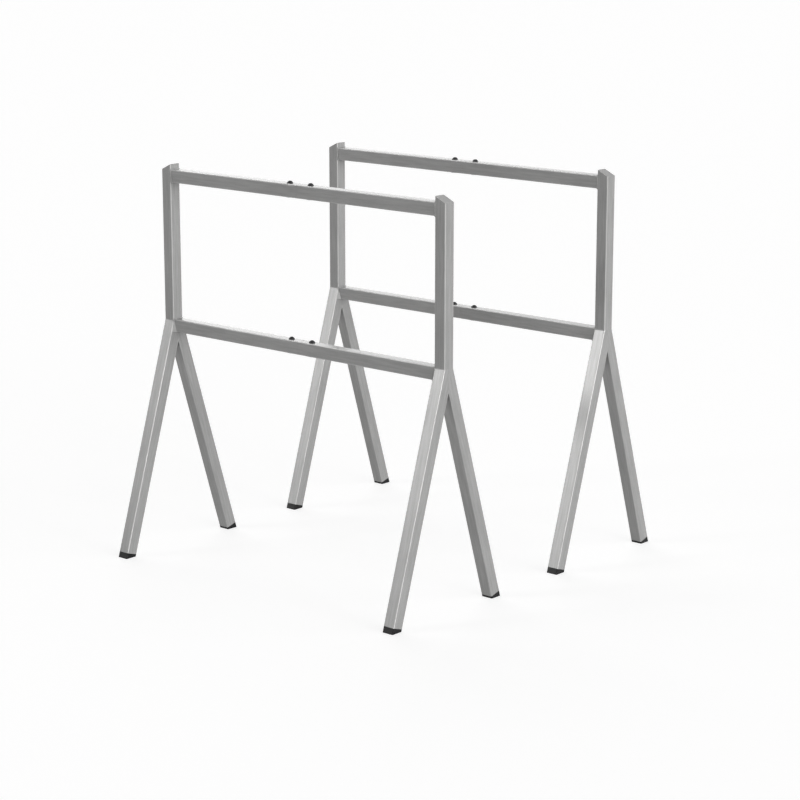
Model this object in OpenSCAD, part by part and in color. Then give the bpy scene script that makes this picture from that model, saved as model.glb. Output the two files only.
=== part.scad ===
// Pair of folding sawhorses in square steel tube.
// Each sawhorse is two Y-shaped end frames joined by a top rail and a lower rail.
// Both rails are parted in the middle: a link block sits inside the two tube mouths and
// turns on two upright pivots, so the end frames swing together towards the rear.
// Millimetres. X runs along the rails, Y from the near sawhorse to the far one, Z up.
// The origin is on the floor, in the middle of the pair.

/* [Sawhorse] */
// Height from the floor to the peak of a post
trestle_h = 786.5; // [640:0.5:1000]
// Width across the outsides of the two posts
trestle_w = 742; // [500:1:1100]
// Height of the joint where a post ends and its two legs begin
joint_h = 470; // [340:1:600]
// Depth across the outsides of the front and rear feet, on the floor
foot_spread = 313; // [220:1:420]
// Distance between the middle planes of the two sawhorses
pair_pitch = 488.5; // [430:0.5:900]

/* [Post and leg tube] */
// Outside width of the square tube
tube_w = 25; // [20:0.5:32]
// Wall of the square tube
tube_wall = 1.5; // [1.2:0.1:2.5]
// Outside corner radius of the square tube
tube_r = 2; // [1.8:0.1:4]

/* [Rail tube] */
// Depth of a rail, front to rear
rail_d = 22; // [20:0.5:25]
// Height of a rail
rail_h = 26; // [22:0.5:32]
// Wall of the rail tube
rail_wall = 1.5; // [1.2:0.1:2]
// Outside corner radius of the rail tube
rail_r = 2; // [1.8:0.1:3]
// Drop from the peak of a post to the top face of the top rail
rail_drop = 11; // [8:0.5:40]
// Rise of the lower rail's top face above the joint
rail_rise = 2.5; // [0:0.5:6]
// How far the lower rail's weld fillets stay behind the faces of the legs
weld_inset = 1.4; // [0.5:0.1:3]

/* [Post tops] */
// Fall of the slanting cut across the top of a post
top_fall = 12; // [4:0.5:16]
// Thickness of the plate welded into the top of a post, measured upright
top_plate_t = 2; // [1.5:0.5:4]

/* [Folding knuckles] */
// Distance between the two pivots of a knuckle
pivot_pitch = 54; // [44:1:70]
// Gap between the two half rails when the sawhorse stands open
seam = 0.3; // [0.3:0.1:1]
// Width of a link block, which is also the diameter of its round ends
link_w = 16; // [14:0.5:16.5]
// Play between a link block and the tube wall above it, and below it
link_play = 0.2; // [0.1:0.05:0.4]
// Room at each end of the slot that lets a link block swing out
slot_room = 1; // [0.5:0.25:3]

/* [Pivots] */
// Diameter of the bolt shank
bolt_d = 8; // [6:0.5:8]
// Diameter of the bolt head
bolt_head_d = 12.6; // [12:0.2:16]
// Height of the domed bolt head
bolt_head_h = 5; // [4:0.25:7]
// Width across flats of the hexagon socket in the bolt head
socket_af = 5; // [4:0.5:6]
// Depth of the hexagon socket
socket_depth = 3; // [2:0.25:3.5]
// Outside diameter of the barrel nut that the link block turns on
barrel_d = 11; // [10.5:0.1:11.5]
// Diameter of the barrel nut's flat head
barrel_head_d = 16; // [14:0.5:18]
// Thickness of the barrel nut's flat head
barrel_head_t = 1; // [0.8:0.1:2]
// Radial running clearance of a link block on its barrel nut
pivot_clear = 0.05; // [0.02:0.01:0.1]
// Radial clearance of a bolt or barrel nut in a hole of the rail
hole_clear = 0.2; // [0.1:0.05:0.5]

/* [Feet] */
// Thickness of a foot cap on its thinnest side, measured along the leg
cap_t = 4.5; // [2:0.5:8]
// Length of the plug that a foot cap pushes into the leg
plug_l = 22; // [14:1:40]
// Wall of the hollow plug
plug_wall = 2.2; // [1.6:0.1:3]
// Gap between the plug and the inside of the leg
plug_gap = 0.5; // [0.3:0.05:0.8]
// Gap left at the gripping ribs of the plug
rib_gap = 0.05; // [0.02:0.01:0.15]
// Thickness of a gripping rib
rib_t = 1.6; // [1:0.1:2.5]
// Number of gripping ribs on a plug
rib_count = 3; // [2:1:4]

/* [Hidden] */

$fn = 64;
steel = "silver";
black = "#202124";
link_grey = "#4a4d50";
zinc = "gainsboro";

left = -1;
right = 1;
front = -1;
rear = 1;

// Inner face of a post, where the rails end
post_in = trestle_w / 2 - tube_w;
post_mid = (trestle_w - tube_w) / 2;
// Lean of a leg from the vertical
leg_lean = atan((foot_spread - tube_w) / 2 / joint_h);
// Middle of a leg, where it meets the floor
leg_mid_y = foot_spread / 2 - tube_w / 2 / cos(leg_lean);
// Rise of the floor plane across half a leg, measured along the leg
floor_rise = tube_w / 2 * tan(leg_lean);
// Where the leg tube ends above the floor, measured along the middle of the leg
leg_end = floor_rise + cap_t;
// Top faces of the two rails
rail_tops = [trestle_h - rail_drop, joint_h + rail_rise];
pivot_x = pivot_pitch / 2;
// Height of the hollow inside a rail
rail_room = rail_h - 2 * rail_wall;
// Radius about the pivot that clears the middle of the rail as a half rail swings
end_r = pivot_x - seam / 2;
// Longer than any piece, for cutting
past = 2 * (trestle_h + trestle_w);
// Small overrun that keeps a cutter clear of the face it cuts
over = 1;

// Solid rounded rectangle, centred
module rounded_rect(w, d, r) {
    square([w - 2 * r, d], center = true);
    square([w, d - 2 * r], center = true);
    for (x = [-1, 1], y = [-1, 1])
        translate([x * (w / 2 - r), y * (d / 2 - r)])
            circle(r = r);
}

// Rectangular tube along Z, centred on the axis
module tube(w, d, r, wall, length) {
    difference() {
        linear_extrude(length) rounded_rect(w, d, r);
        translate([0, 0, -over])
            linear_extrude(length + 2 * over)
                rounded_rect(w - 2 * wall, d - 2 * wall, r - wall);
    }
}

// Everything drawn for the right side, moved to the side asked for
module on_side(side) {
    if (side == left) mirror([1, 0, 0]) children();
    else children();
}

// Everything drawn for the rear, moved to the end asked for
module at_end(end) {
    if (end == front) mirror([0, 1, 0]) children();
    else children();
}

module near() {
    translate([0, -pair_pitch / 2, 0]) children();
}

module far() {
    translate([0, pair_pitch / 2, 0]) children();
}

// Height of the slanting top of the right post at a distance x from the middle
function top_z(x) = trestle_h - top_fall * (x - post_in) / tube_w;

// Slab along the slanting top of the right post, between two heights measured from it
module slanting_slab(low, high) {
    x0 = post_in - tube_w;
    x1 = trestle_w / 2 + tube_w;
    translate([0, tube_w, 0]) rotate([90, 0, 0]) linear_extrude(2 * tube_w)
        polygon([[x0, top_z(x0) + low], [x1, top_z(x1) + low],
                 [x1, top_z(x1) + high], [x0, top_z(x0) + high]]);
}

module post(side) {
    color(steel) on_side(side) difference() {
        translate([post_mid, 0, joint_h])
            tube(tube_w, tube_w, tube_r, tube_wall, trestle_h - joint_h);
        slanting_slab(0, trestle_h);
    }
}

// Plate welded flush into the slanting mouth of a post
module post_top(side) {
    mouth = tube_w - 2 * tube_wall;
    depth = top_fall + 2 * top_plate_t;
    color(steel) on_side(side) intersection() {
        translate([post_mid, 0, trestle_h - depth])
            linear_extrude(depth) rounded_rect(mouth, mouth, tube_r - tube_wall);
        slanting_slab(-top_plate_t, 0);
    }
}

// Placed along a leg: Z up the leg's middle line, Y away from the sawhorse's middle
module along_leg() {
    translate([post_mid, leg_mid_y, 0])
        rotate([leg_lean, 0, 0])
            children();
}

module leg(side, end) {
    color(steel) on_side(side) at_end(end) difference() {
        along_leg() translate([0, 0, leg_end])
            tube(tube_w, tube_w, tube_r, tube_wall, trestle_h);
        translate([0, -past, joint_h]) cube(2 * past);
        translate([0, -past, 0]) cube(past);
    }
}

// Hollow plug with gripping ribs, on a wedge that levels the foot with the floor
module foot(side, end) {
    bore = tube_w - 2 * tube_wall;
    plug = bore - 2 * plug_gap;
    rib = bore - 2 * rib_gap;
    inner_r = tube_r - tube_wall;
    rib_pitch = plug_l / (rib_count + 0.5);
    color(black) on_side(side) at_end(end) {
        difference() {
            along_leg() {
                translate([0, 0, -tube_w])
                    linear_extrude(leg_end + tube_w) rounded_rect(tube_w, tube_w, tube_r);
                difference() {
                    union() {
                        translate([0, 0, leg_end - over])
                            linear_extrude(plug_l + over) rounded_rect(plug, plug, inner_r);
                        for (i = [1 : rib_count])
                            translate([0, 0, leg_end + i * rib_pitch - rib_t])
                                linear_extrude(rib_t) rounded_rect(rib, rib, inner_r);
                    }
                    translate([0, 0, leg_end])
                        linear_extrude(plug_l + over)
                            square(plug - 2 * plug_wall, center = true);
                }
            }
            translate([0, -past, -2 * past]) cube(2 * past);
        }
    }
}

// Half of a rail, from the middle of the sawhorse to the post
module half_rail(side, top) {
    color(steel) on_side(side) translate([0, 0, top - rail_h / 2]) difference() {
        translate([seam / 2, 0, 0]) rotate([90, 0, 90])
            tube(rail_d, rail_h, rail_r, rail_wall, post_in - seam / 2);
        // Slot in the rear wall for the link block
        translate([-over, 0, -rail_room / 2])
            cube([pivot_x + link_w / 2 + slot_room + over, rail_d, rail_room]);
        // Rear corner of the mouth, rounded about the pivot
        difference() {
            translate([-over, 0, -rail_h]) cube([pivot_x + over, rail_d, 2 * rail_h]);
            translate([pivot_x, 0, -2 * rail_h]) cylinder(r = end_r, h = 4 * rail_h);
        }
        translate([pivot_x, 0, 0]) cylinder(d = bolt_d + 2 * hole_clear, h = rail_h);
        translate([pivot_x, 0, -rail_h]) cylinder(d = barrel_d + 2 * hole_clear, h = rail_h);
    }
}

// Distance from the middle plane to the outer face of a leg at a height z
function leg_face(z) = foot_spread / 2 - (foot_spread - tube_w) / 2 * z / joint_h;

// One end of a weld fillet: a triangle in the corner between the lower rail and the leg
module weld_end(z) {
    reach = max(leg_face(z) - weld_inset - rail_d / 2, seam);
    translate([post_in, rail_d / 2, z]) linear_extrude(seam)
        polygon([[-reach, 0], [-reach, -rail_r], [tube_r, -rail_r], [tube_r, reach], [0, reach]]);
}

// Weld fillets that fill the corners between the lower rail and the spreading legs
module welds(side) {
    color(steel) on_side(side) for (end = [front, rear]) at_end(end) difference() {
        hull() {
            weld_end(rail_tops[1] - rail_h);
            weld_end(joint_h - seam);
        }
        along_leg() translate([0, 0, leg_end])
            linear_extrude(trestle_h) rounded_rect(tube_w, tube_w, tube_r);
        translate([0, 0, rail_tops[1] - rail_h / 2]) rotate([90, 0, 90])
            linear_extrude(trestle_w) rounded_rect(rail_d, rail_h, rail_r);
        translate([0, -past, 0]) cube(past);
    }
}

// Block inside the two tube mouths, bored for the two pivots
module link(top) {
    height = rail_room - 2 * link_play;
    color(link_grey) translate([0, 0, top - rail_h / 2 - height / 2]) difference() {
        union() {
            translate([-pivot_x, -link_w / 2, 0]) cube([pivot_pitch, link_w, height]);
            for (x = [-pivot_x, pivot_x])
                translate([x, 0, 0]) cylinder(d = link_w, h = height);
        }
        for (x = [-pivot_x, pivot_x])
            translate([x, 0, -over])
                cylinder(d = barrel_d + 2 * pivot_clear, h = height + 2 * over);
    }
}

// Domed bolt with a hexagon socket, its head on the rail and its shank in the barrel nut
module bolt() {
    dome_r = (pow(bolt_head_d / 2, 2) + pow(bolt_head_h, 2)) / (2 * bolt_head_h);
    difference() {
        union() {
            intersection() {
                translate([0, 0, bolt_head_h - dome_r]) sphere(r = dome_r);
                cylinder(d = bolt_head_d, h = bolt_head_h + over);
            }
            translate([0, 0, over - rail_h + rail_wall])
                cylinder(d = bolt_d, h = rail_h - rail_wall);
        }
        translate([0, 0, bolt_head_h - socket_depth])
            cylinder(d = socket_af / cos(30), h = socket_depth + over, $fn = 6);
    }
}

// Barrel nut: flat head under the rail, barrel up to the underside of the top wall
module barrel_nut() {
    difference() {
        union() {
            translate([0, 0, -rail_h - barrel_head_t])
                cylinder(d = barrel_head_d, h = barrel_head_t);
            translate([0, 0, -rail_h - barrel_head_t])
                cylinder(d = barrel_d, h = rail_h - rail_wall + barrel_head_t);
        }
        translate([0, 0, -rail_h])
            cylinder(d = bolt_d + 2 * pivot_clear, h = rail_h);
    }
}

module bolts(side) {
    color(black) on_side(side)
        for (top = rail_tops) translate([pivot_x, 0, top]) bolt();
}

module barrel_nuts(side) {
    color(zinc) on_side(side)
        for (top = rail_tops) translate([pivot_x, 0, top]) barrel_nut();
}

near() post(left);  // near_left_post
near() post(right);  // near_right_post
near() post_top(left);  // near_left_post_top
near() post_top(right);  // near_right_post_top
near() leg(left, front);  // near_left_front_leg
near() leg(left, rear);  // near_left_rear_leg
near() leg(right, front);  // near_right_front_leg
near() leg(right, rear);  // near_right_rear_leg
near() foot(left, front);  // near_left_front_foot
near() foot(left, rear);  // near_left_rear_foot
near() foot(right, front);  // near_right_front_foot
near() foot(right, rear);  // near_right_rear_foot
near() half_rail(left, rail_tops[0]);  // near_left_top_rail
near() half_rail(right, rail_tops[0]);  // near_right_top_rail
near() half_rail(left, rail_tops[1]);  // near_left_lower_rail
near() half_rail(right, rail_tops[1]);  // near_right_lower_rail
near() link(rail_tops[0]);  // near_top_link
near() link(rail_tops[1]);  // near_lower_link
near() bolts(left);  // near_left_bolts
near() bolts(right);  // near_right_bolts
near() barrel_nuts(left);  // near_left_barrel_nuts
near() barrel_nuts(right);  // near_right_barrel_nuts
near() welds(left);  // near_left_welds
near() welds(right);  // near_right_welds
far() post(left);  // far_left_post
far() post(right);  // far_right_post
far() post_top(left);  // far_left_post_top
far() post_top(right);  // far_right_post_top
far() leg(left, front);  // far_left_front_leg
far() leg(left, rear);  // far_left_rear_leg
far() leg(right, front);  // far_right_front_leg
far() leg(right, rear);  // far_right_rear_leg
far() foot(left, front);  // far_left_front_foot
far() foot(left, rear);  // far_left_rear_foot
far() foot(right, front);  // far_right_front_foot
far() foot(right, rear);  // far_right_rear_foot
far() half_rail(left, rail_tops[0]);  // far_left_top_rail
far() half_rail(right, rail_tops[0]);  // far_right_top_rail
far() half_rail(left, rail_tops[1]);  // far_left_lower_rail
far() half_rail(right, rail_tops[1]);  // far_right_lower_rail
far() link(rail_tops[0]);  // far_top_link
far() link(rail_tops[1]);  // far_lower_link
far() bolts(left);  // far_left_bolts
far() bolts(right);  // far_right_bolts
far() barrel_nuts(left);  // far_left_barrel_nuts
far() barrel_nuts(right);  // far_right_barrel_nuts
far() welds(left);  // far_left_welds
far() welds(right);  // far_right_welds
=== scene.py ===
"""Looks of a pair of folding sawhorses in grey powder-coated square steel tube.

The steel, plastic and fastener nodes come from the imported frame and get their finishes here.
The weld beads are modelled here and ride on the end frames: round the rail ends, across the bends
between posts and legs, under the crotches of the legs, and round the plates in the post tops.
Metres. X runs along the rails, Y from the near sawhorse to the far one, Z up.
"""

import math

import bmesh
import bpy
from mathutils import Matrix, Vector


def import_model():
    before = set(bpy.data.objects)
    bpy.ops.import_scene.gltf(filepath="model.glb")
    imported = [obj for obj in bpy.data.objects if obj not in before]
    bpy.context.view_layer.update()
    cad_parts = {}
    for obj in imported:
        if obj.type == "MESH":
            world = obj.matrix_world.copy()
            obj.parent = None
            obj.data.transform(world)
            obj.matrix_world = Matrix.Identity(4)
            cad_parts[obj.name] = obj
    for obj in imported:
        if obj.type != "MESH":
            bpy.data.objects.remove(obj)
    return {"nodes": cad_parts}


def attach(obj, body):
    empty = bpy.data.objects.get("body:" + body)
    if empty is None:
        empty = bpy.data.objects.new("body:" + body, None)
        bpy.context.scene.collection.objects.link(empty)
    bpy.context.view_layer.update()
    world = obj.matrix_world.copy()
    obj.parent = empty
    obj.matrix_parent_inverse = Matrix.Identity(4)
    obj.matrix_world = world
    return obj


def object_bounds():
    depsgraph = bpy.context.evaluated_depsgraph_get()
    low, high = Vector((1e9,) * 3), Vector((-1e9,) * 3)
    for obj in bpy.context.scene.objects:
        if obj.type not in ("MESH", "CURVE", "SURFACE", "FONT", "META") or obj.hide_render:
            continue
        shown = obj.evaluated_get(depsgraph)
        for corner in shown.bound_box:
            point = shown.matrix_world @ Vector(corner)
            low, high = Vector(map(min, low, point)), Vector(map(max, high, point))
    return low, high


MM = 0.001

# Camera, set from the middle of the pair
CAMERA_AZIMUTH = math.radians(41.33)
CAMERA_ELEVATION = math.radians(12.99)
CAMERA_DISTANCE = 4.491
CAMERA_AIM = Vector((0.1185, -0.0927, -0.0458))
CAMERA_LENS = 103.43

# Places where the tubes meet, on the right side of a sawhorse
SAWHORSES = {"near": -244.25 * MM, "far": 244.25 * MM}
POST_IN = 346 * MM
TUBE = 25 * MM
TUBE_CORNER = 2 * MM
TUBE_WALL = 1.5 * MM
JOINT_HEIGHT = 470 * MM
LEG_LEAN = math.radians(17.04)
CROTCH_HEIGHT = 425.4 * MM
PEAK_HEIGHT = 786.5 * MM
TOP_FALL = 12 * MM
RAIL_SIZE = (22 * MM, 26 * MM)
RAIL_CORNER = 2 * MM
RAIL_HEIGHTS = (762.5 * MM, 459.5 * MM)

# Weld beads: radius and how far the middle line lies under the surface
RAIL_BEAD = (1.5 * MM, 0.5 * MM)
JOINT_BEAD = (1.9 * MM, 1.45 * MM)
CROTCH_BEAD = (0.8 * MM, 0.6 * MM)
PLATE_BEAD = (0.9 * MM, 0.65 * MM)
# Degrees round the corner of a tube at which the bead across a bend has its points
JOINT_WRAP = (0, 20, 40)
CROTCH_INSET = 0.5 * MM
PLATE_CORNER = 1 * MM
QUARTER_STEPS = 4
BEAD_STEP = 0.4 * MM
BEAD_RESOLUTION = 1
RIPPLE_PITCH = 1.7 * MM
RIPPLE_SHARE = 0.11
# Slow swellings of a bead: share of its height, length of one radian, and start in radians
SWELLINGS = ((0.10, 4.1 * MM, 0), (0.07, 1.3 * MM, 2))

# Patterns of the finishes: grains to the metre, detail, and where in the noise each blend starts
# and ends. A range is how far the colour or the roughness goes to either side.
CLOUDS = (9, 3, 0.35, 0.65)
CLOUD_RANGE = 0.04
FLAKE = (2600, 1, 0.4, 0.6)
FLAKE_RANGE = 0.06
DRAWN_LINES = (260, 3, 0.3, 0.7)
LINE_RANGE = 0.09
LINE_STRETCH = 14
COAT_SHEEN = (14, 1, 0.3, 0.7)
COAT_SHEEN_RANGE = 0.012
PLASTIC_SPECK = (240, 4, 0.35, 0.65)
SPECK_SHADES = (0.8, 1.25)
PLASTIC_SHEEN = (90, 3, 0.3, 0.7)
PLASTIC_SHEEN_RANGE = 0.06
OXIDE_WEAR = (700, 4, 0.4, 0.75)
OXIDE_SHEEN = (900, 3, 0.3, 0.7)
ZINC_SPANGLE = (350, 3, 0.35, 0.65)
ZINC_SHEEN = (800, 3, 0.3, 0.7)
# Relief of the finishes: grains to the metre, detail, strength and depth
ORANGE_PEEL = (700, 2, 0.05, 0.1 * MM)
SPARK_GRAIN = (1500, 2)
SPARK_DEPTH = 0.1 * MM
OXIDE_PORES = (1800, 2, 0.12, 0.05 * MM)
ZINC_PORES = (1400, 2, 0.1, 0.05 * MM)

# Grey powder coat on all the steel tube
STEEL_COLOUR = (0.350, 0.349, 0.345)
STEEL_METALLIC = 0.20
STEEL_SPECULAR = 0.45
STEEL_ROUGHNESS = 0.25
# Plastics by slot: name, colour, roughness, strength of the grain and specular level
PLASTICS = {
    "foot_cap": ("black_foot_plastic", (0.006, 0.006, 0.0065), 0.32, 0.2, 0.18),
    "link_block": ("dark_nylon", (0.055, 0.058, 0.062), 0.42, 0.15, 0.5),
}
# Fasteners: both ends of the colour and of the roughness
OXIDE_COLOURS = ((0.010, 0.010, 0.011), (0.028, 0.028, 0.030))
OXIDE_ROUGHNESS = (0.32, 0.5)
OXIDE_SPECULAR = 0.3
ZINC_COLOURS = ((0.50, 0.51, 0.53), (0.66, 0.67, 0.68))
ZINC_ROUGHNESS = (0.28, 0.42)

# Painted highlight on the rounded corners of the tubes: how much lighter the coat is there, as a
# share of the flats, and how far into the corner it starts and is full; the corner's middle is at
# 0.5
PAINTED_CORNER_HIGHLIGHT = 1.52
REAR_PAINTED_CORNER_HIGHLIGHT = 1.10
PAINTED_HIGHLIGHT_EDGE = (0.05, 0.35)
# The tubes as they lie in axes turned along them. The legs turn about the bend, so they end up
# off the middle of the turned axes.
HALF_PITCH = SAWHORSES["far"]
LEG_SHIFT = JOINT_HEIGHT * math.sin(LEG_LEAN) - TUBE / 2 * (1 - math.cos(LEG_LEAN))
LEG_PITCH = HALF_PITCH * math.cos(LEG_LEAN)
RAIL_MIDDLE = sum(RAIL_HEIGHTS) / 2
# For a direction across a kind of tube: the middle of all such tubes, how far they lie from that
# middle, and half the tube's width
SIDEWAYS = (0.0, POST_IN + TUBE / 2, TUBE / 2)
RAILS_UPWARDS = (-RAIL_MIDDLE, RAIL_HEIGHTS[0] - RAIL_MIDDLE, RAIL_SIZE[1] / 2)
# Kinds of tube: the turn about X and Y that lays the Z axis along it, the painted highlight on its
# corners, and the two directions across it
TUBES = {
    "front_leg": ((-LEG_LEAN, 0), PAINTED_CORNER_HIGHLIGHT, (SIDEWAYS, (-LEG_SHIFT, LEG_PITCH, TUBE / 2))),
    "rear_leg": ((LEG_LEAN, 0), REAR_PAINTED_CORNER_HIGHLIGHT, (SIDEWAYS, (LEG_SHIFT, LEG_PITCH, TUBE / 2))),
    "rail": ((0, math.pi / 2), PAINTED_CORNER_HIGHLIGHT, (RAILS_UPWARDS, (0.0, HALF_PITCH, RAIL_SIZE[0] / 2))),
    "post": ((0, 0), PAINTED_CORNER_HIGHLIGHT, (SIDEWAYS, (0.0, HALF_PITCH, TUBE / 2))),
    "plain": (None, None, None),
}

# Studio: a pale floor, an even world and soft lamps
FLOOR_SIDE = 120.0
FLOOR_COLOUR = 0.4
FLOOR_GLOW = 0.765
WORLD_LIGHT = 0.05
# Azimuth, elevation and width in degrees, and strength
LAMPS = {
    "right_key": (86, 8, 22, 1.18),
    "right_high": (70, 11, 40, 0.70),
    "right_front": (60, 3, 40, 0.50),
    "right_rear": (115, 18, 50, 1.04),
    "rear": (203, 8, 22, 0.28),
    "rear_gloss": (223, 8, 16, 0.029),
    "rear_left": (240, 35, 50, 1.09),
    "front_left": (320, 20, 22, 0.47),
    "front": (328, 20, 8, 0.21),
}


# ---------------------------------------------------------------- finishes


class Finish:
    """A node material with one Principled shader, and short ways to add the nodes that it needs."""

    def __init__(self, name):
        self.material = bpy.data.materials.new(name)
        self.material.use_nodes = True
        self.nodes = self.material.node_tree.nodes
        self.links = self.material.node_tree.links
        self.shader = self.nodes["Principled BSDF"]
        self.place = self.add("ShaderNodeTexCoord").outputs["Object"]

    def add(self, kind, **settings):
        node = self.nodes.new(kind)
        for name, value in settings.items():
            setattr(node, name, value)
        return node

    def set(self, socket, value):
        self.shader.inputs[socket].default_value = value

    def wire(self, socket, output):
        self.links.new(output, self.shader.inputs[socket])

    def turned(self, turn, stretch=1.0):
        """Place on the object in axes of which Z lies along the tube, drawn out along it."""
        mapping = self.add("ShaderNodeMapping", vector_type="TEXTURE")
        mapping.inputs["Rotation"].default_value = (*turn, 0)
        mapping.inputs["Scale"].default_value = (1, 1, stretch)
        self.links.new(self.place, mapping.inputs["Vector"])
        return mapping.outputs["Vector"]

    def noise(self, scale, detail, place=None):
        """Noise with `scale` grains to the metre."""
        node = self.add("ShaderNodeTexNoise")
        node.inputs["Scale"].default_value = scale
        node.inputs["Detail"].default_value = detail
        self.links.new(self.place if place is None else place, node.inputs["Vector"])
        return node.outputs["Fac"]

    def ramp(self, factor, start, end, low, high):
        """Goes from one colour or grey to another while a factor goes from start to end."""
        node = self.add("ShaderNodeValToRGB")
        for element, at, value in zip(node.color_ramp.elements, (start, end), (low, high)):
            element.position = at
            element.color = (*value, 1) if isinstance(value, tuple) else (value, value, value, 1)
        self.links.new(factor, node.inputs["Fac"])
        return node.outputs["Color"]

    def pattern(self, grain, low, high, place=None):
        """Two colours or greys mixed by one of the patterns."""
        scale, detail, start, end = grain
        return self.ramp(self.noise(scale, detail, place), start, end, low, high)

    def multiply(self, a, b):
        node = self.add("ShaderNodeMix", data_type="RGBA", blend_type="MULTIPLY")
        node.inputs["Factor"].default_value = 1.0
        self.links.new(a, node.inputs["A"])
        self.links.new(b, node.inputs["B"])
        return node.outputs["Result"]

    def reckon(self, operation, *values):
        """A Math node over outputs and plain numbers."""
        node = self.add("ShaderNodeMath", operation=operation)
        for socket, value in zip(node.inputs, values):
            if isinstance(value, float):
                socket.default_value = value
            else:
                self.links.new(value, socket)
        return node.outputs["Value"]

    def corner(self, turn, layout):
        """0.5 along the middle of a rounded corner of the tube, 0 on its flats."""
        split = self.add("ShaderNodeSeparateXYZ")
        self.links.new(self.turned(turn), split.inputs["Vector"])
        shares = []
        for axis, (middle, apart, half) in zip("XY", layout):
            off = self.reckon("ABSOLUTE", self.reckon("SUBTRACT", split.outputs[axis], middle))
            off = self.reckon("ABSOLUTE", self.reckon("SUBTRACT", off, apart))
            share = self.add("ShaderNodeMapRange")
            share.inputs["From Min"].default_value = half - TUBE_CORNER
            share.inputs["From Max"].default_value = half
            self.links.new(off, share.inputs["Value"])
            shares.append(share.outputs["Result"])
        return self.reckon("MULTIPLY", *shares)

    def relief(self, scale, detail, strength, depth):
        """Fine bumps all over the surface."""
        node = self.add("ShaderNodeBump")
        node.inputs["Strength"].default_value = strength
        node.inputs["Distance"].default_value = depth
        self.links.new(self.noise(scale, detail), node.inputs["Height"])
        self.wire("Normal", node.outputs["Normal"])


def about(value, spread):
    """The two ends of a range round a value."""
    return value - spread, value + spread


def shades(colour, dark, light):
    """Two shades of a colour, given as shares of it."""
    return tuple(dark * c for c in colour), tuple(light * c for c in colour)


def powder_coat(run, turn, painted_corner_highlight, layout):
    """Silver-grey powder coat with metal flake, clouding and orange peel.

    On a tube the drawn lines of the steel show through, and the rounded corners get a painted
    highlight.
    """
    coat = Finish(f"grey_powder_coat_{run}")
    coat.set("Metallic", STEEL_METALLIC)
    coat.set("Specular IOR Level", STEEL_SPECULAR)
    clouds = coat.pattern(CLOUDS, *shades(STEEL_COLOUR, *about(1, CLOUD_RANGE)))
    colour = coat.multiply(clouds, coat.pattern(FLAKE, *about(1, FLAKE_RANGE)))
    if turn is not None:
        along = coat.turned(turn, LINE_STRETCH)
        lines = coat.pattern(DRAWN_LINES, *about(1, LINE_RANGE), along)
        # Painted highlight: the coat is made lighter along the rounded corners of the tube
        corner = coat.ramp(coat.corner(turn, layout), *PAINTED_HIGHLIGHT_EDGE, 1.0, painted_corner_highlight)
        colour = coat.multiply(coat.multiply(colour, lines), corner)
    coat.wire("Base Color", colour)
    coat.wire("Roughness", coat.pattern(COAT_SHEEN, *about(STEEL_ROUGHNESS, COAT_SHEEN_RANGE)))
    coat.relief(*ORANGE_PEEL)
    return coat.material


def moulded_plastic(name, colour, roughness, grain, specular):
    """Moulded plastic with a fine spark-eroded grain."""
    plastic = Finish(name)
    plastic.set("Specular IOR Level", specular)
    plastic.wire("Base Color", plastic.pattern(PLASTIC_SPECK, *shades(colour, *SPECK_SHADES)))
    sheen = plastic.pattern(PLASTIC_SHEEN, *about(roughness, PLASTIC_SHEEN_RANGE))
    plastic.wire("Roughness", sheen)
    plastic.relief(*SPARK_GRAIN, grain, SPARK_DEPTH)
    return plastic.material


def black_oxide():
    """Black oxide on the bolts, slightly worn."""
    oxide = Finish("black_oxide")
    oxide.set("Specular IOR Level", OXIDE_SPECULAR)
    oxide.wire("Base Color", oxide.pattern(OXIDE_WEAR, *OXIDE_COLOURS))
    oxide.wire("Roughness", oxide.pattern(OXIDE_SHEEN, *OXIDE_ROUGHNESS))
    oxide.relief(*OXIDE_PORES)
    return oxide.material


def zinc_plate():
    """Bright zinc plating on the barrel nuts."""
    zinc = Finish("zinc_plate")
    zinc.set("Metallic", 1.0)
    zinc.wire("Base Color", zinc.pattern(ZINC_SPANGLE, *ZINC_COLOURS))
    zinc.wire("Roughness", zinc.pattern(ZINC_SHEEN, *ZINC_ROUGHNESS))
    zinc.relief(*ZINC_PORES)
    return zinc.material


def dress_nodes(frame):
    """Gives every node its finish, and returns the coat of the steel that isn't a tube."""
    coats = {run: powder_coat(run, *settings) for run, settings in TUBES.items()}
    finishes = {slot: moulded_plastic(*settings) for slot, settings in PLASTICS.items()}
    finishes.update(bolt=black_oxide(), barrel_nut=zinc_plate())
    for name, node in frame["nodes"].items():
        run = next((run for run in TUBES if name.endswith(run)), "plain")
        for slot in node.material_slots:
            kind = slot.material.name.split(".")[0]
            slot.material = coats[run] if kind == "steel_tube" else finishes[kind]
    return coats["plain"]


# ---------------------------------------------------------------- weld beads


def even_steps(corners, closed):
    """Points at even steps along straight lines between corners."""
    ends = corners[1:] + corners[:1] if closed else corners[1:]
    points = []
    for start, end in zip(corners, ends):
        count = max(1, round((end - start).length / BEAD_STEP))
        points += [start.lerp(end, i / count) for i in range(count)]
    return points if closed else points + [corners[-1]]


def rounded_loop(width, height, radius):
    """Corners of a rounded rectangle in the YZ plane."""
    corners = []
    for quarter, (a, b) in enumerate(((1, 1), (-1, 1), (-1, -1), (1, -1))):
        for i in range(QUARTER_STEPS + 1):
            turn = (quarter + i / QUARTER_STEPS) * math.pi / 2
            corners.append(Vector((
                0,
                a * (width / 2 - radius) + radius * math.cos(turn),
                b * (height / 2 - radius) + radius * math.sin(turn),
            )))
    return corners


def rail_line(height):
    """Round the end of a rail, against the inner face of the post."""
    sunk = RAIL_BEAD[1]
    loop = rounded_loop(RAIL_SIZE[0] + 2 * sunk, RAIL_SIZE[1] + 2 * sunk, RAIL_CORNER + sunk)
    return [point + Vector((POST_IN - sunk, 0, height)) for point in loop]


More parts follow.
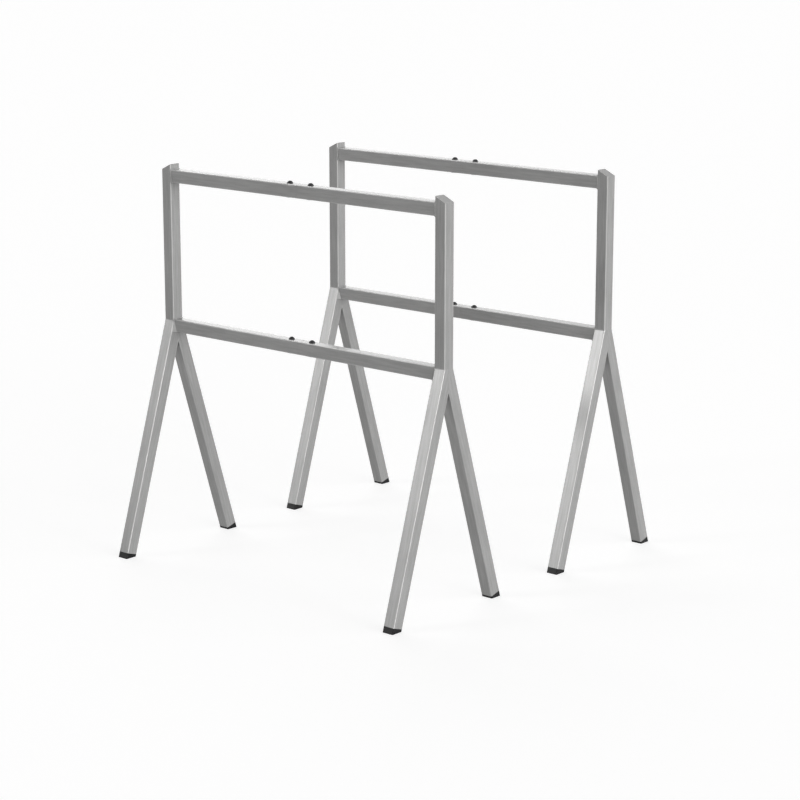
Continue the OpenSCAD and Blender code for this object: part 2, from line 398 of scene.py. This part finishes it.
def joint_line(end):
    """Across the bend between a post and a leg, and partly round the two corners."""
    radius = TUBE_CORNER - JOINT_BEAD[1]
    flat = TUBE / 2 - TUBE_CORNER
    line = []
    for side, wrap in ((-1, reversed(JOINT_WRAP)), (1, JOINT_WRAP)):
        for turn in wrap:
            angle = math.radians(turn)
            x = POST_IN + TUBE / 2 + side * (flat + radius * math.sin(angle))
            line.append(Vector((x, end * (flat + radius * math.cos(angle)), JOINT_HEIGHT)))
    return line


def crotch_line():
    """Under the place where the two legs part."""
    height = CROTCH_HEIGHT - CROTCH_BEAD[1]
    return [Vector((POST_IN + x, 0, height)) for x in (CROTCH_INSET, TUBE - CROTCH_INSET)]


def plate_line():
    """Round the plate in the slanting mouth of the post."""
    mouth = TUBE - 2 * TUBE_WALL
    slope = TOP_FALL / TUBE
    down = PLATE_BEAD[1] * Vector((slope, 0, 1)).normalized()
    corners = []
    for point in rounded_loop(mouth, mouth, PLATE_CORNER):
        along = point.z + TUBE / 2
        corners.append(Vector((POST_IN + along, point.y, PEAK_HEIGHT - slope * along)) - down)
    return corners


def add_bead(curve, corners, closed, radius, sunk):
    """One rippled bead along a line. The ripples are a share of the height that stands proud."""
    points = even_steps(corners, closed)
    spline = curve.splines.new("POLY")
    spline.points.add(len(points) - 1)
    spline.use_cyclic_u = closed
    way = 0.0
    for i, (handle, point) in enumerate(zip(spline.points, points)):
        way += (point - points[i - 1]).length if i else 0.0
        swell = 1 + RIPPLE_SHARE * math.cos(2 * math.pi * way / RIPPLE_PITCH)
        swell += sum(share * math.sin(way / length + start) for share, length, start in SWELLINGS)
        handle.co = (*point, 1)
        handle.radius = (sunk + (radius - sunk) * swell) / curve.bevel_depth


def weld_frame(sawhorse, side, material):
    """All the beads of one end frame, as one piece that moves with it."""
    name = f"{sawhorse}_{side}"
    curve = bpy.data.curves.new(f"{name}_weld_beads", "CURVE")
    curve.dimensions = "3D"
    curve.bevel_depth = MM  # the radius at each point is a share of this
    curve.bevel_resolution = BEAD_RESOLUTION
    curve.use_fill_caps = True
    lines = [(rail_line(height), True, RAIL_BEAD) for height in RAIL_HEIGHTS]
    lines += [(joint_line(end), False, JOINT_BEAD) for end in (-1, 1)]
    lines += [(crotch_line(), False, CROTCH_BEAD), (plate_line(), True, PLATE_BEAD)]
    flip = -1 if side == "left" else 1
    for corners, closed, (radius, sunk) in lines:
        placed = [Vector((flip * p.x, p.y + SAWHORSES[sawhorse], p.z)) for p in corners]
        add_bead(curve, placed, closed, radius, sunk)
    curve.materials.append(material)
    beads = bpy.data.objects.new(curve.name, curve)
    bpy.context.scene.collection.objects.link(beads)
    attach(beads, f"{name}_frame")


# ---------------------------------------------------------------- stage


def floor_material():
    """Pale floor that keeps the shadows. Its glow brings it to white, and metal sees that too."""
    material = bpy.data.materials.new("pale_floor")
    material.use_nodes = True
    nodes, links = material.node_tree.nodes, material.node_tree.links
    nodes.remove(nodes["Principled BSDF"])
    matt = nodes.new("ShaderNodeBsdfDiffuse")
    matt.inputs["Color"].default_value = (FLOOR_COLOUR, FLOOR_COLOUR, FLOOR_COLOUR, 1)
    glow = nodes.new("ShaderNodeEmission")
    glow.inputs["Strength"].default_value = FLOOR_GLOW
    clear = nodes.new("ShaderNodeEmission")
    clear.inputs["Strength"].default_value = 0.0
    shown = nodes.new("ShaderNodeMixShader")
    total = nodes.new("ShaderNodeAddShader")
    links.new(seen_directly(nodes, links), shown.inputs["Fac"])
    links.new(clear.outputs["Emission"], shown.inputs[1])
    links.new(glow.outputs["Emission"], shown.inputs[2])
    links.new(matt.outputs["BSDF"], total.inputs[0])
    links.new(shown.outputs["Shader"], total.inputs[1])
    links.new(total.outputs["Shader"], nodes["Material Output"].inputs["Surface"])
    return material


def seen_directly(nodes, links):
    """1 for the camera and for what metal or glass shows, 0 for the light that falls on things."""
    path = nodes.new("ShaderNodeLightPath")
    seen = path.outputs["Is Camera Ray"]
    for ray in ("Is Glossy Ray", "Is Transmission Ray"):
        either = nodes.new("ShaderNodeMath")
        either.operation = "MAXIMUM"
        links.new(seen, either.inputs[0])
        links.new(path.outputs[ray], either.inputs[1])
        seen = either.outputs["Value"]
    return seen


def lay_floor():
    mesh = bpy.data.meshes.new("floor")
    bm = bmesh.new()
    bmesh.ops.create_grid(bm, x_segments=1, y_segments=1, size=FLOOR_SIDE / 2)
    bm.to_mesh(mesh)
    bm.free()
    floor = bpy.data.objects.new("floor", mesh)
    bpy.context.scene.collection.objects.link(floor)
    mesh.materials.append(floor_material())


def light_world():
    """Even light from all round; the camera and glossy surfaces see it as white."""
    world = bpy.data.worlds.new("studio")
    bpy.context.scene.world = world
    world.use_nodes = True
    nodes, links = world.node_tree.nodes, world.node_tree.links
    strength = nodes.new("ShaderNodeMapRange")
    strength.inputs["To Min"].default_value = WORLD_LIGHT
    links.new(seen_directly(nodes, links), strength.inputs["Value"])
    links.new(strength.outputs["Result"], nodes["Background"].inputs["Strength"])
    nodes["Background"].inputs["Color"].default_value = (1, 1, 1, 1)


def towards(azimuth, elevation):
    """Unit vector from the object to a place: azimuth 0 is on the -Y side, 90 on the +X side."""
    return Vector((
        math.sin(azimuth) * math.cos(elevation),
        -math.cos(azimuth) * math.cos(elevation),
        math.sin(elevation),
    ))


def hang_lamps():
    for name, (azimuth, elevation, width, strength) in LAMPS.items():
        data = bpy.data.lights.new(name, "SUN")
        data.energy = strength
        data.angle = math.radians(width)
        lamp = bpy.data.objects.new(name, data)
        bpy.context.scene.collection.objects.link(lamp)
        back = towards(math.radians(azimuth), math.radians(elevation))
        lamp.rotation_euler = back.to_track_quat("Z", "Y").to_euler()


def set_camera(middle):
    data = bpy.data.cameras.new("camera")
    data.lens = CAMERA_LENS
    camera = bpy.data.objects.new("camera", data)
    bpy.context.scene.collection.objects.link(camera)
    back = towards(CAMERA_AZIMUTH, CAMERA_ELEVATION)
    camera.location = middle + CAMERA_AIM + CAMERA_DISTANCE * back
    camera.rotation_euler = back.to_track_quat("Z", "Y").to_euler()
    bpy.context.scene.camera = camera


def main():
    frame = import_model()
    cad_low, cad_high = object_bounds()
    set_camera((cad_low + cad_high) / 2)
    coat = dress_nodes(frame)
    for sawhorse in SAWHORSES:
        for side in ("left", "right"):
            weld_frame(sawhorse, side, coat)
    lay_floor()
    light_world()
    hang_lamps()
    bpy.context.scene.view_settings.view_transform = "Standard"


main()
